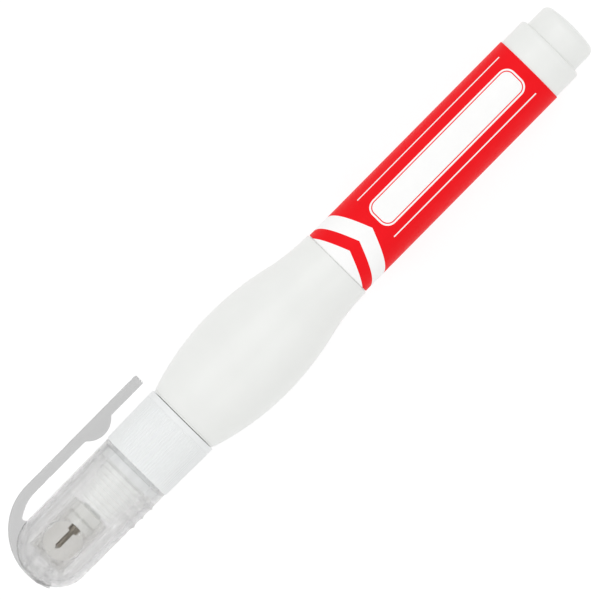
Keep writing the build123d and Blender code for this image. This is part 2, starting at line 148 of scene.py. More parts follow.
HOLLOW_ROW = 0.8

# Thread of the neck and of the collar
THREAD_PITCH = 2.4
THREAD_DEPTH = 0.55
THREAD_BASE = 1.05
THREAD_CREST = 0.5
THREAD_ROOT = 0.15
THREAD_LEAD_IN = 1.2
THREAD_RUN_OUT = 0.6
THREAD_STEPS = 36
THREAD_START = BARREL_LOW[0] + THREAD_LEAD_IN
THREAD_LENGTH = COLLAR_HIGH[0] - THREAD_RUN_OUT - THREAD_BASE - THREAD_PITCH / 2 - THREAD_START

# Screw collar
MOUTH_X = CAP_HIGH[0]
RIB_COUNT = 80
RIB_SAMPLES = 8
RIB_DEPTH = 0.07
RIB_LEAD_IN = 0.06
RIB_ROW = 2.0
# Part of the wave from crest to valley that a rib's flank takes
RIB_FLANK = (0.1, 0.8)
# Share of the height and of the depth that the ribs have at their ends
RIB_FRONT = (0.25, 0.5)
RIB_REAR = (0.6, 0.8)
COLLAR_BORE = 6.0
COLLAR_FRONT_WALL = 1.2
COLLAR_FLANGE = 1.15
COLLAR_LINE = 0.2
COLLAR_EDGE = 0.16
COLLAR_REAR_RADIUS = COLLAR_HIGH[1]
COLLAR_DRAFT = 0.17
COLLAR_FRONT_RADIUS = COLLAR_REAR_RADIUS - COLLAR_DRAFT
SPIGOT_RADIUS = 5.65
SPIGOT_BORE = 4.6
SPIGOT_GROOVE_LENGTH = 0.76
SPIGOT_GROOVE_DEPTH = 0.4
SPIGOT_EDGE = 0.25

# Nozzle, from its front face on; a pair is a length and a radius
STEP_FRONT = (1.7, 2.43)
STEP_SEAL = (1.8, 3.1)
STEP_RELIEF = (0.35, 2.1)
NOZZLE_GROOVE = (0.6, 1.9)
CONE_FRONT_RADIUS = 3.28
CONE_REAR_RADIUS = 4.5
CONE_RINGS = 8
RING_GROOVE = 0.5
RING_DEPTH = 0.22
NOZZLE_EDGE = 0.14
NOZZLE_FLANGE_RADIUS = NOZZLE_HIGH[1]
NOZZLE_FLANGE_LENGTH = 1.2
PLUG_FIT = 0.04
PLUG_RADIUS = NECK_BORE - PLUG_FIT
SHANK_HOLE = 0.61
SHANK_LENGTH = 3.9
CHAMBER_RADIUS = 1.45
REAR_BORE = 2.35
SPRING_GAP = 0.02
RETAINER_X = SPRING_HIGH[0] + SPRING_GAP

# Metal tip
TUBE_RADIUS = 0.48
TUBE_BORE = 0.3
TUBE_LENGTH = 3.45
TIP_COLLAR_LENGTH = 1.25
TIP_COLLAR_RADIUS = TIP_HIGH[1]
SHANK_RADIUS = 0.6
TIP_EDGE = 0.07

# Valve spring
SPRING_TURNS = 7
SPRING_STEPS = 36
SPRING_WIRE = 0.14
SPRING_RADIUS = SPRING_HIGH[1] - SPRING_WIRE
WIRE_SIDES = 10

# Cap shell
CAP_MOUTH_RADIUS = CAP_HIGH[2]
CAP_DRAFT = 0.08
CAP_END_RADIUS = CAP_MOUTH_RADIUS - CAP_DRAFT
CAP_WALL = 1.25
CAP_BORE = 5.7
CAP_EDGE = 0.2
DOME_FLAT = 0.45
DOME_RADIUS = CAP_END_RADIUS - DOME_FLAT
CLIP_AHEAD = 0.2
DOME_X = CAP_LOW[0] + CLIP_AHEAD
DOME_START_X = DOME_X + DOME_RADIUS
DOME_STEPS = 14
DOME_ROW = 0.3
LAND_X = COLLAR_LOW[0]
SOCKET_BORE = 1.41
SOCKET_WALL = 1.1
SOCKET_EDGE = 0.15
# Near the axis, out to CORE_RADIUS and fading over CORE_FADE, the clear plastics lose their grey: painted
# light that lightens the middle of the dome.
CORE_MARGIN = 0.05
CORE_RADIUS = SOCKET_BORE + SOCKET_WALL + CORE_MARGIN
CORE_FADE = 0.6
WINDOW_X = -88.35
WINDOW_RADIUS = 3.35
WINDOW_EDGE = 0.12
WINDOW_REACH = 4.6
WINDOW_ROWS = 20
WINDOW_COLUMNS = 16
WINDOW_RINGS = 6
WINDOW_START = WINDOW_X - WINDOW_REACH
WINDOW_END = WINDOW_X + WINDOW_REACH
WINDOW_ROW = 2 * WINDOW_REACH / WINDOW_ROWS
WINDOW_RIM = WINDOW_RADIUS + WINDOW_EDGE
FINGER_RIBS = 3
FINGER_RIB_PITCH = 2.12
FINGER_RIB_FROM_MOUTH = 3.3
FINGER_RIB_WIDTH = 0.9
FINGER_RIB_HEIGHT = 0.25
FINGER_RIB_HALF_SPAN = math.radians(58)
FINGER_RIB_FADE = math.radians(5)
WALL_ROW = 0.075
BORE_ROW = 1.5

# Pocket clip
CLIP_WIDTH = CLIP_HIGH[2] - CLIP_LOW[2]
CLIP_OUTER = CLIP_HIGH[1]
CLIP_THICKNESS = 1.85
ROOT_THICKENING = 0.25
CLIP_TIP_X = CLIP_HIGH[0]
CLIP_TIP_CORNER = 1.4
CLIP_TIP_STEPS = 12
CLIP_TIP_THINNING = 0.6
CLIP_EDGE = 0.3
NOSE_EDGE = 0.08
BEND_RADIUS = 10.5
BEND_CENTRE = (CAP_LOW[0] + BEND_RADIUS, CLIP_OUTER - BEND_RADIUS)
ROOT_ANGLE = math.radians(33.5)
SLOT_END_RADIUS = 0.45
SLOT_END_STEPS = 8
ROOT_STEP = math.radians(0.3)
BELOW_AXIS = 4.0
END_ANGLE = math.pi / 2 + math.asin((BELOW_AXIS + BEND_CENTRE[1]) / BEND_RADIUS)
ROOT_GAP = 0.04
END_BITE = 0.05
SLOT_END_REACH = BEND_RADIUS - CLIP_THICKNESS - ROOT_THICKENING - SLOT_END_RADIUS
SLOT_END_TURN = math.asin(SLOT_END_RADIUS / SLOT_END_REACH)
SLOT_END_MIDDLE = ROOT_ANGLE - SLOT_END_TURN
BUMP_PAST_MOUTH = 0.1
BUMP_X = MOUTH_X + BUMP_PAST_MOUTH
BUMP_HEIGHT = 1.45
BUMP_RADIUS = 3.9
BUMP_BLEND = 0.2
BEND_STEP = math.radians(1.8)
ARM_ROW = 0.2

# Inner cap
INNER_RADIUS = INNER_HIGH[1]
INNER_BORE = 3.13
INNER_END = 0.7
STEM_RADIUS = 1.4
STEM_LENGTH = 2.3
INNER_EDGE = 0.12

# Print on the label: distances along the pen, and around it from the middle of the window's side
FIELD_TIP = -14.6
FIELD_SLOPE = 0.4
BAND_FRONT = -17.7
BAND_BACK = -20.0
PANEL_START = -13.1
PANEL_END = 20.7
PANEL_MIDDLE = 0.63
PANEL_WIDTH = 5.56
PANEL_CORNER = 1.9
KEYLINE_INSET = 0.42
KEYLINE_WIDTH = 0.2
PINSTRIPES = (5.7, -3.85)
PINSTRIPE_WIDTH = 0.24
BACK_PANEL_LENGTH = 27.0
BACK_PANEL_WIDTH = 9.0
BACK_PANEL_CORNER = 1.2
PRINT_EDGE = 0.04
SEAM_ANGLE = math.radians(-128)
SEAM_LAP = math.radians(22)
SEAM_RISE = 0.05
SEAM_EDGE = math.radians(1.5)
PAPER = ((0.94, 0.94, 0.935), (0.96, 0.96, 0.955))
INK = ((0.86, 0.006, 0.011), (0.89, 0.007, 0.013))
INK_RELIEF = 0.4

# Finishes: the usual range of noise, the shade of the darkest places and the spread of the roughness
NOISE_LOW = 0.3
NOISE_HIGH = 0.7
CLOUD_SHADE = 0.975
CLOUD_GLOSS = (-0.05, 0.05)
FLOW_SHADE = 0.98
FLOW_GLOSS = (0.6, 1.4)
MARK_SHADE = 0.72
MARK_GLOSS = (-0.08, 0.1)
# Grey of the clear plastics' smoke: partly their own faint grey, partly painted shade that shows through
# them
SMOKE_AND_SHADE_GREY = (0.5, 0.5, 0.5, 1.0)

# Camera, floor and light
PEN_TILT = math.radians(45.32)
PIXELS_PER_MM = 5.954
IMAGE_SIZE = 600
PEN_MIDDLE_PIXEL = (300.5, 300.6)
CAMERA_HEIGHT = 2200.0
SENSOR = 36.0
NEAREST_SEEN = 50.0
FARTHEST_SEEN = 20000.0
FLOOR_SIZE = 4000.0
HORIZON_LIGHT = 1.0
ZENITH_LIGHT = 0.68
FLOOR_WHITE = 0.9
FLOOR_SEEN = 0.26
FLOOR_GLOW = 0.81


def new_object(name, data):
    """Object in the scene for a mesh, a lamp or a camera."""
    made = bpy.data.objects.new(name, data)
    bpy.context.scene.collection.objects.link(made)
    return made


def mesh_piece(name, points, faces):
    """Smooth closed mesh from points in millimetres, with its sharp edges left hard."""
    mesh = bpy.data.meshes.new(name)
    mesh.from_pydata([[value * MM for value in point] for point in points], [], faces)
    work = bmesh.new()
    work.from_mesh(mesh)
    bmesh.ops.remove_doubles(work, verts=work.verts, dist=PRECISION * MM)
    bmesh.ops.recalc_face_normals(work, faces=work.faces)
    work.to_mesh(mesh)
    work.free()
    mesh.shade_smooth()
    mesh.set_sharp_from_angle(angle=SHARP_ANGLE)
    return new_object(name, mesh)


def ring_faces(first, second):
    """Faces between two closed rings of point numbers; a ring of one number is a tip."""
    faces = []
    count = max(len(first), len(second))
    for index in range(count):
        following = (index + 1) % count
        corners = [
            first[index % len(first)],
            first[following % len(first)],
            second[following % len(second)],
            second[index % len(second)],
        ]
        faces.append(list(dict.fromkeys(corners)))
    return faces


def number_rings(rings, points):
    """Adds rings to a list of points, and gives the numbers of each ring's points there."""
    numbers = []
    for ring in rings:
        numbers.append(range(len(points), len(points) + len(ring)))
        points.extend(ring)
    return numbers


def row_faces(numbers):
    """Faces over a row of rings of point numbers."""
    faces = []
    for first, second in zip(numbers, numbers[1:]):
        faces += ring_faces(first, second)
    return faces


def skin(name, rings, loop=False):
    """Mesh over a row of rings of points, joined end to end in a loop or closed at both ends."""
    points = []
    numbers = number_rings(rings, points)
    faces = row_faces(numbers)
    if loop:
        faces += ring_faces(numbers[-1], numbers[0])
    else:
        faces += [list(end) for end in (numbers[0], numbers[-1]) if len(end) > 1]
    return mesh_piece(name, points, faces)


def axis_point(x, radius, angle):
    """Point at a station, a radius and an angle about the pen's axis."""
    return (x, radius * math.cos(angle), radius * math.sin(angle))


def circle(x, radius):
    """Ring of points about the pen's axis, or one point on it."""
    if radius < TINY:
        return [(x, 0.0, 0.0)]
    return [axis_point(x, radius, 2 * math.pi * index / TURN_COUNT) for index in range(TURN_COUNT)]


def lathe(name, outline, loop=False):
    """Mesh turned about the pen's axis from an outline of stations and radii."""
    return skin(name, [circle(x, radius) for x, radius in outline], loop)


def arc(centre, radius, start, end, steps):
    """Points of an arc between two angles in degrees."""
    points = []
    for index in range(steps + 1):
        angle = math.radians(start + (end - start) * index / steps)
        points.append((centre[0] + radius * math.cos(angle), centre[1] + radius * math.sin(angle)))
    return points


def soft(corners, loop=False):
    """Outline whose corners with a third number are rounded by it, but over half of a side at most."""
    count = len(corners)
    outline = []
    for index, corner in enumerate(corners):
        inside = loop or 0 < index < count - 1
        if len(corner) < 3 or not inside:
            outline.append(tuple(corner[:2]))
            continue
        sides = [corners[index - 1], corners[(index + 1) % count]]
        ends = []
        for side in sides:
            run = math.dist(side[:2], corner[:2])
            share = min(corner[2] / run, 0.5)
            ends.append([here + (there - here) * share for here, there in zip(corner[:2], side[:2])])
        points = (ends[0], corner, ends[1])
        for step in range(EDGE_STEPS + 1):
            along = step / EDGE_STEPS
            weights = ((1 - along) ** 2, 2 * along * (1 - along), along**2)
            x = sum(weight * point[0] for weight, point in zip(weights, points))
            y = sum(weight * point[1] for weight, point in zip(weights, points))
            outline.append((x, y))
    return outline


def smooth(low, high, value):
    """Soft step from zero at low to one at high."""
    share = min(max((value - low) / (high - low), 0.0), 1.0)
    return share * share * (3 - 2 * share)


def steps_between(start, end, size):
    """Evenly spaced values from start to end, no further apart than size."""
    count = max(1, math.ceil(abs(end - start) / size))
    return [start + (end - start) * index / count for index in range(count + 1)]


def grip_arcs(inset):
    """Function that gives the swollen grip's radius at a station, moved inwards by inset."""
    rise = CREST_RADIUS - SHOULDER_RADIUS
    front_arc = ((CREST_X - SHOULDER_X) ** 2 + rise**2) / (2 * rise)
    run = WAIST_X - CREST_X
    drop = CREST_RADIUS - WAIST_RADIUS
    both_arcs = (run**2 + drop**2) / (2 * drop)
    rear_arc = both_arcs * REAR_ROUNDING
    waist_arc = both_arcs - rear_arc
    meet = CREST_X + (rear_arc - inset) * run / both_arcs

    def radius(x):
        if x < CREST_X:
            return CREST_RADIUS - front_arc + math.sqrt((front_arc - inset) ** 2 - (x - CREST_X) ** 2)
        if x < meet:
            return CREST_RADIUS - rear_arc + math.sqrt((rear_arc - inset) ** 2 - (x - CREST_X) ** 2)
        return WAIST_RADIUS + waist_arc - math.sqrt((waist_arc + inset) ** 2 - (x - WAIST_X) ** 2)

    return radius


def bottle():
    """Hollow squeeze bottle: neck, swollen grip, label seat and stepped tail."""
    outside = grip_arcs(0)
    inside = grip_arcs(BARREL_WALL)
    reach = POST_RADIUS - POST_EDGE
    end_arc = (reach**2 + POST_DOME**2) / (2 * POST_DOME)
    end_angle = math.degrees(math.asin(reach / end_arc))
    post_rim = END_X - POST_DOME - POST_EDGE
    tail_rim = BODY_RADIUS - TAIL_EDGE
    bead = SHOULDER_RADIUS - BEAD_STEP
    grip = steps_between(WAIST_X - WAIST_EDGE, SHOULDER_X + SHOULDER_EDGE, GRIP_ROW)
    hollow = steps_between(SHOULDER_X + SHOULDER_SLOPE, WAIST_X, HOLLOW_ROW)
    corners = [
        *arc((END_X - end_arc, 0), end_arc, 0, end_angle, POST_DOME_STEPS),
        *arc((post_rim, reach), POST_EDGE, end_angle, 90, POST_EDGE_STEPS),
        (TAIL_X, POST_RADIUS, STEP_EDGE),
        (TAIL_X, tail_rim),
        *arc((TAIL_X - TAIL_EDGE, tail_rim), TAIL_EDGE, 0, 90, TAIL_EDGE_STEPS)[1:],
        (WAIST_X, BODY_RADIUS),
        (WAIST_X, WAIST_RADIUS, WAIST_EDGE),
        *[(x, outside(x)) for x in grip],
        (SHOULDER_X, SHOULDER_RADIUS, SHOULDER_EDGE),
        (SHOULDER_X, bead),
        (SHOULDER_X - BEAD_LENGTH, bead, BEAD_LENGTH / 3),
        (SHOULDER_X - BEAD_LENGTH, NECK_RADIUS, STEP_EDGE),
        (BARREL_LOW[0], NECK_RADIUS, STEP_EDGE),
        (BARREL_LOW[0], NECK_BORE, STEP_EDGE),
        (SHOULDER_X + BARREL_WALL / 2, NECK_BORE),
        *[(x, inside(x)) for x in hollow],
        (WAIST_X + BARREL_WALL, BODY_RADIUS - BARREL_WALL),
        (TAIL_X - BARREL_WALL, BODY_RADIUS - BARREL_WALL, TAIL_EDGE),
        (TAIL_X - BARREL_WALL, POST_RADIUS - BARREL_WALL),
        (END_X - BARREL_WALL, POST_RADIUS - BARREL_WALL, POST_EDGE),
        (END_X - BARREL_WALL, 0),
    ]
    return lathe("bottle", soft(corners))


def thread(name, start, radius, side):
    """Helical ridge on a wall of a radius, standing outwards with side 1 and inwards with side -1."""
    count = round(THREAD_LENGTH / THREAD_PITCH * THREAD_STEPS)
    section = [
        (-side * THREAD_ROOT, -THREAD_BASE / 2),
        (side * THREAD_DEPTH, -THREAD_CREST / 2),
        (side * THREAD_DEPTH, THREAD_CREST / 2),
        (-side * THREAD_ROOT, THREAD_BASE / 2),
    ]
    rings = []
    for index in range(count + 1):
        angle = 2 * math.pi * index / THREAD_STEPS
        x = start + THREAD_LENGTH * index / count
        rings.append([axis_point(x + along, radius + height, angle) for height, along in section])
    return skin(name, rings)


def label():
    """Printed film around the barrel, with the lap of its seam at the back."""
    front = LABEL_LOW[0]
    rear = LABEL_HIGH[0]
    inner = LABEL_RADIUS - FILM
    rim = FILM / 4
    rows = steps_between(front + LABEL_ROW / 2, rear - LABEL_ROW / 2, LABEL_ROW)
    outline = [(front, inner), (front, LABEL_RADIUS - rim), (front + rim, LABEL_RADIUS)]
    outline += [(x, LABEL_RADIUS) for x in rows]
    outline += [(rear - rim, LABEL_RADIUS), (rear, LABEL_RADIUS - rim), (rear, inner)]
    edges = (SEAM_ANGLE, SEAM_ANGLE + SEAM_EDGE, SEAM_ANGLE + SEAM_LAP, SEAM_ANGLE + 2 * SEAM_LAP)
    angles = [2 * math.pi * index / TURN_COUNT - math.pi for index in range(TURN_COUNT)]
    angles = sorted(angles + list(edges))
    rings = []
    for x, radius in outline:
        ring = []
        for angle in angles:
            lap = smooth(SEAM_ANGLE, SEAM_ANGLE + SEAM_EDGE, angle)
            lap *= 1 - smooth(SEAM_ANGLE + SEAM_LAP, SEAM_ANGLE + 2 * SEAM_LAP, angle)
            reach = radius + SEAM_RISE * lap * (radius > inner)
            ring.append((x, reach * math.sin(angle), reach * math.cos(angle)))
        rings.append(ring)
    return skin("label_film", rings, loop=True)


def collar():
    """Ribbed screw collar with the spigot that the cap sits on."""
    rear = COLLAR_HIGH[0]
    flange = rear - COLLAR_FLANGE
    line = flange - COLLAR_LINE
    groove = SPIGOT_RADIUS - SPIGOT_GROOVE_DEPTH
    core = COLLAR_FRONT_RADIUS - RIB_DEPTH
    groove_floor = COLLAR_REAR_RADIUS - RIB_DEPTH
    front_wall = MOUTH_X + COLLAR_FRONT_WALL
    plain_front = soft([
        (LAND_X, SPIGOT_BORE),
        (LAND_X, SPIGOT_RADIUS, SPIGOT_EDGE),
        (MOUTH_X - SPIGOT_GROOVE_LENGTH, SPIGOT_RADIUS, COLLAR_EDGE / 2),
        (MOUTH_X - SPIGOT_GROOVE_LENGTH, groove, COLLAR_EDGE),
        (MOUTH_X, groove, COLLAR_EDGE),
        (MOUTH_X, core - COLLAR_EDGE),
    ])
    plain_rear = soft([
        (line + COLLAR_EDGE / 4, groove_floor),
        (flange, groove_floor, COLLAR_EDGE / 4),
        (flange, COLLAR_REAR_RADIUS, COLLAR_EDGE),
        (rear, COLLAR_REAR_RADIUS, COLLAR_EDGE),
        (rear, COLLAR_BORE, COLLAR_EDGE),
        (front_wall, COLLAR_BORE),
        (front_wall, SPIGOT_BORE, COLLAR_EDGE),
    ])
    stations = steps_between(MOUTH_X + RIB_ROW / 2, line - RIB_ROW / 4, RIB_ROW)
    ribbed = [(MOUTH_X + RIB_LEAD_IN, core + RIB_DEPTH * RIB_FRONT[0], RIB_FRONT[1])]
    for x in (MOUTH_X + COLLAR_EDGE, *stations, line - COLLAR_EDGE):
        ribbed.append((x, core + RIB_DEPTH, 1.0))
    ribbed.append((line, core + RIB_DEPTH * RIB_REAR[0], RIB_REAR[1]))
    rows = [(x, radius, 0.0) for x, radius in plain_front]
    for x, radius, share in ribbed:
        draft = COLLAR_DRAFT * (x - MOUTH_X) / (flange - MOUTH_X)
        rows.append((x, radius + draft, share))
    rows += [(x, radius, 0.0) for x, radius in plain_rear]
    count = RIB_COUNT * RIB_SAMPLES
    rings = []
    for x, radius, share in rows:
        ring = []
        for index in range(count):
            angle = 2 * math.pi * index / count
            valley = 0.5 - 0.5 * math.cos(RIB_COUNT * angle)
            reach = radius - RIB_DEPTH * share * smooth(*RIB_FLANK, valley)
            ring.append(axis_point(x, reach, angle))
        rings.append(ring)
    return skin("ribbed_collar", rings, loop=True)


def nozzle():
    """Stepped tip holder with a ringed cone, hollow for the tip and the valve."""
    face = NOZZLE_LOW[0]
    seal = face + STEP_FRONT[0]
    groove = seal + STEP_SEAL[0]
    cone = groove + NOZZLE_GROOVE[0]
    pitch = (LAND_X - cone) / CONE_RINGS
    growth = (CONE_REAR_RADIUS - CONE_FRONT_RADIUS) / CONE_RINGS
    rings = []
    for index in range(CONE_RINGS):
        start = cone + index * pitch
        wide = CONE_FRONT_RADIUS + (index + 1) * growth
        rings.append((start, wide - growth, NOZZLE_EDGE / 2))
        rings.append((start + pitch - RING_GROOVE, wide, NOZZLE_EDGE))
        rings.append((start + pitch - RING_GROOVE / 2, wide - RING_DEPTH, NOZZLE_EDGE))
    flange = MOUTH_X + COLLAR_FRONT_WALL
    neck = flange + NOZZLE_FLANGE_LENGTH
    rear = NOZZLE_HIGH[0]
    corners = [
        (face, SHANK_HOLE, NOZZLE_EDGE / 2),
        (face, STEP_FRONT[1], NOZZLE_EDGE * 2),
        (seal - STEP_RELIEF[0], STEP_FRONT[1], NOZZLE_EDGE / 2),
        (seal - STEP_RELIEF[0], STEP_RELIEF[1], NOZZLE_EDGE / 2),
        (seal, STEP_RELIEF[1], NOZZLE_EDGE / 2),
        (seal, STEP_SEAL[1], NOZZLE_EDGE * 2),
        (groove, STEP_SEAL[1], NOZZLE_EDGE * 2),
        (groove, NOZZLE_GROOVE[1], NOZZLE_EDGE / 2),
        (cone, NOZZLE_GROOVE[1], NOZZLE_EDGE / 2),
        *rings,
        (LAND_X, CONE_REAR_RADIUS),
        (flange, CONE_REAR_RADIUS),
        (flange, NOZZLE_FLANGE_RADIUS, NOZZLE_EDGE),
        (neck, NOZZLE_FLANGE_RADIUS, NOZZLE_EDGE),
        (neck, PLUG_RADIUS),
        (rear, PLUG_RADIUS, NOZZLE_EDGE * 2),
        (rear, REAR_BORE, NOZZLE_EDGE),
        (RETAINER_X, REAR_BORE),
        (RETAINER_X, CHAMBER_RADIUS),
        (face + SHANK_LENGTH, CHAMBER_RADIUS),
        (face + SHANK_LENGTH, SHANK_HOLE),
    ]
    return lathe("nozzle_body", soft(corners, loop=True), loop=True)


def tip():
    """Drawn steel tube with its seating collar and shank."""
    front = TIP_LOW[0]
    seat = front + TUBE_LENGTH
    face = seat + TIP_COLLAR_LENGTH
    corners = [
        (front, TUBE_BORE, TIP_EDGE / 2),
        (front, TUBE_RADIUS, TIP_EDGE),
        (seat, TUBE_RADIUS, TIP_EDGE),
        (seat, TIP_COLLAR_RADIUS, TIP_EDGE),
        (face, TIP_COLLAR_RADIUS, TIP_EDGE),
        (face, SHANK_RADIUS),
        (TIP_HIGH[0], SHANK_RADIUS, TIP_EDGE),
        (TIP_HIGH[0], TUBE_BORE),
    ]
    return lathe("tip_tube", soft(corners, loop=True), loop=True)


def spring():
    """Coil of wire between the valve head and the retainer."""
    start = SPRING_LOW[0] + SPRING_WIRE
    height = SPRING_HIGH[0] - SPRING_LOW[0] - 2 * SPRING_WIRE
    count = SPRING_TURNS * SPRING_STEPS
    rings = []
    for index in range(count + 1):
        angle = 2 * math.pi * index / SPRING_STEPS
        x = start + height * index / count
        ring = []
        for side in range(WIRE_SIDES):
            turn = 2 * math.pi * side / WIRE_SIDES
            reach = SPRING_RADIUS + SPRING_WIRE * math.cos(turn)
            ring.append(axis_point(x + SPRING_WIRE * math.sin(turn), reach, angle))
        rings.append(ring)
    return skin("spring_coil", rings)


def inner_cap():
    """Clear sealing sleeve over the tip, with the stem that holds it in the dome."""
    shoulder = INNER_LOW[0] + STEM_LENGTH
    corners = [
        (INNER_LOW[0], 0),
        (INNER_LOW[0], STEM_RADIUS, INNER_EDGE),
        (shoulder, STEM_RADIUS, INNER_EDGE),
        (shoulder, INNER_RADIUS, INNER_EDGE * 4),
        (INNER_HIGH[0], INNER_RADIUS, INNER_EDGE),
        (INNER_HIGH[0], INNER_BORE, INNER_EDGE),
        (shoulder + INNER_END, INNER_BORE, INNER_EDGE * 2),
        (shoulder + INNER_END, 0),
    ]
    return lathe("sealing_sleeve", soft(corners))


def cap_outside(x):
    """Radius of the cap's outer face at a station."""
    if x < DOME_START_X:
        return DOME_FLAT + math.sqrt(max(DOME_RADIUS**2 - (x - DOME_START_X) ** 2, 0.0))
    share = (x - DOME_START_X) / (MOUTH_X - DOME_START_X)
    return CAP_END_RADIUS + CAP_DRAFT * share


def cap_inside(x):
    """Radius of the cap's inner face at a station."""
    dome = DOME_RADIUS - CAP_WALL
    if x < DOME_START_X:
        return DOME_FLAT + math.sqrt(max(dome**2 - (x - DOME_START_X) ** 2, 0.0))
    share = min((x - DOME_START_X) / (LAND_X - DOME_START_X), 1.0)
    return DOME_FLAT + dome + (CAP_BORE - DOME_FLAT - dome) * share


def finger_rib_rise(x, angle):
    """Height of the finger ribs above the cap, with the angle counted from the side of the clip."""
    away = abs(math.pi - angle % (2 * math.pi))
    spread = 1 - smooth(FINGER_RIB_HALF_SPAN - FINGER_RIB_FADE, FINGER_RIB_HALF_SPAN, away)
    rise = 0.0
    for index in range(FINGER_RIBS):
        middle = MOUTH_X - FINGER_RIB_FROM_MOUTH - index * FINGER_RIB_PITCH
        across = min(abs(x - middle) / (FINGER_RIB_WIDTH / 2), 1.0)
        rise += FINGER_RIB_HEIGHT * math.cos(across * math.pi / 2) ** 2
    return rise * spread


def towards(spot, reach):
    """Place at a distance from the window's middle, in the direction of a spot."""
    scale = reach / math.hypot(spot[0] - WINDOW_X, spot[1])
    return (WINDOW_X + (spot[0] - WINDOW_X) * scale, spot[1] * scale)


def window_point(radius_at, aim, spot, share):
    """Point on a wall of the cap, between the window's rim in the direction of aim and a spot."""
    rim = towards(aim, WINDOW_RIM)
    x, y = [start + (end - start) * share for start, end in zip(rim, spot)]
    return (x, y, math.sqrt(radius_at(x) ** 2 - y**2))


def window_border(radius_at):
    """Points around the square area that holds the window, in order, on a wall of the cap."""
    rows = steps_between(WINDOW_START, WINDOW_END, WINDOW_ROW)
    columns = [2 * math.pi * index / TURN_COUNT for index in range(-WINDOW_COLUMNS, WINDOW_COLUMNS + 1)]
    places = [(rows[0], column) for column in columns[:-1]]
    places += [(row, columns[-1]) for row in rows[:-1]]
    places += [(rows[-1], column) for column in reversed(columns[1:])]
    places += [(row, columns[0]) for row in reversed(rows[1:])]
    return [(row, radius_at(row) * math.sin(column)) for row, column in places]


def rim_ring(radius_at, spots, step, side):
    """Ring on the rounded rim of the window, where a wall of the cap turns into the hole."""
    angle = math.pi / 2 * step / EDGE_STEPS
    reach = WINDOW_RADIUS + WINDOW_EDGE * (1 - math.sin(angle))
    ring = []
    for spot in spots:
        x, y = towards(spot, reach)
        wall = math.sqrt(radius_at(x) ** 2 - y**2)
        ring.append((x, y, wall + side * WINDOW_EDGE * (1 - math.cos(angle))))
    return ring


def window_rings():
    """Rings from the area around the window, over its rounded rims and through the wall, to the inside."""
    outer = window_border(cap_outside)
    inner = window_border(cap_inside)
    shares = [index / WINDOW_RINGS for index in range(WINDOW_RINGS + 1)]
    rings = []
    for share in reversed(shares):
        rings.append([window_point(cap_outside, spot, spot, share) for spot in outer])
    for step in range(1, EDGE_STEPS + 1):
        rings.append(rim_ring(cap_outside, outer, step, -1))
    for step in range(EDGE_STEPS, 0, -1):
        rings.append(rim_ring(cap_inside, outer, step, 1))
    for share in shares:
        rings.append([window_point(cap_inside, aim, spot, share) for aim, spot in zip(outer, inner)])
    return rings


def lifted(point, radius):
    """Point of the cap's outer face, raised where a finger rib crosses it."""
    if radius < TINY:
        return point
    angle = math.atan2(point[2], point[1])
    scale = (radius + finger_rib_rise(point[0], angle)) / radius
    return (point[0], point[1] * scale, point[2] * scale)


def cap_shell():
    """Clear cap: domed end, finger ribs, round side window and the socket for the inner cap."""
    front_angle = math.acos((DOME_START_X - WINDOW_START) / DOME_RADIUS)
    turns = [front_angle * step / DOME_STEPS for step in range(DOME_STEPS)]
    dome = [DOME_START_X - DOME_RADIUS * math.cos(turn) for turn in turns]
    beside_window = steps_between(WINDOW_START, WINDOW_END, WINDOW_ROW)
    wall = steps_between(WINDOW_END, MOUTH_X - CAP_EDGE, WALL_ROW)[1:]
    outside = [(x, cap_outside(x)) for x in dome + beside_window + wall]
    mouth = soft([
        (MOUTH_X - CAP_EDGE, cap_outside(MOUTH_X)),
        (MOUTH_X, CAP_MOUTH_RADIUS, CAP_EDGE),
        (MOUTH_X, CAP_BORE, CAP_EDGE),
        (LAND_X, CAP_BORE),
    ])[1:]
    dome_inside = DOME_X + CAP_WALL
    socket = SOCKET_BORE + SOCKET_WALL
    drop = math.sqrt((DOME_RADIUS - CAP_WALL) ** 2 - (socket - DOME_FLAT) ** 2)
    inside = steps_between(LAND_X, WINDOW_END, BORE_ROW)[1:-1] + beside_window[::-1]
    inside += steps_between(WINDOW_START, DOME_START_X - drop, DOME_ROW)[1:]
    socket_end = INNER_LOW[0] + STEM_LENGTH
    stem = soft([
        (DOME_START_X - drop, socket),
        (socket_end, socket, SOCKET_EDGE),
        (socket_end, SOCKET_BORE, SOCKET_EDGE),
        (dome_inside, SOCKET_BORE),
        (dome_inside, 0),
    ])[1:]
    outline = [(DOME_X, 0.0)] + outside + mouth + [(x, cap_inside(x)) for x in inside] + stem
    turned = []
    for number, (x, radius) in enumerate(outline):
        ring = circle(x, radius)
        if number <= len(outside):
            ring = [lifted(point, radius) for point in ring]
        turned.append(ring)
    points = []
    rings = number_rings(turned, points)
    faces = []
    side = TURN_COUNT // 4
    broken = range(side - WINDOW_COLUMNS, side + WINDOW_COLUMNS)
    for number in range(len(outline) - 1):
        quads = ring_faces(rings[number], rings[number + 1])
        stations = (outline[number][0], outline[number + 1][0])
        beside = WINDOW_START - TINY < min(stations) and max(stations) < WINDOW_END + TINY
        faces += [quad for index, quad in enumerate(quads) if not (beside and index in broken)]
    faces += row_faces(number_rings(window_rings(), points))
    return mesh_piece("clear_cap", points, faces)


def bend_point(angle, radius):
    """Point on the clip's bend, with the angle counted from where the bend meets the straight arm."""
    return (BEND_CENTRE[0] - radius * math.sin(angle), BEND_CENTRE[1] + radius * math.cos(angle))


def over_dome(angle):
    """Whether a place on the bend is past the root, where the clip lies on the dome."""
    return angle > ROOT_ANGLE + ROOT_STEP / 2


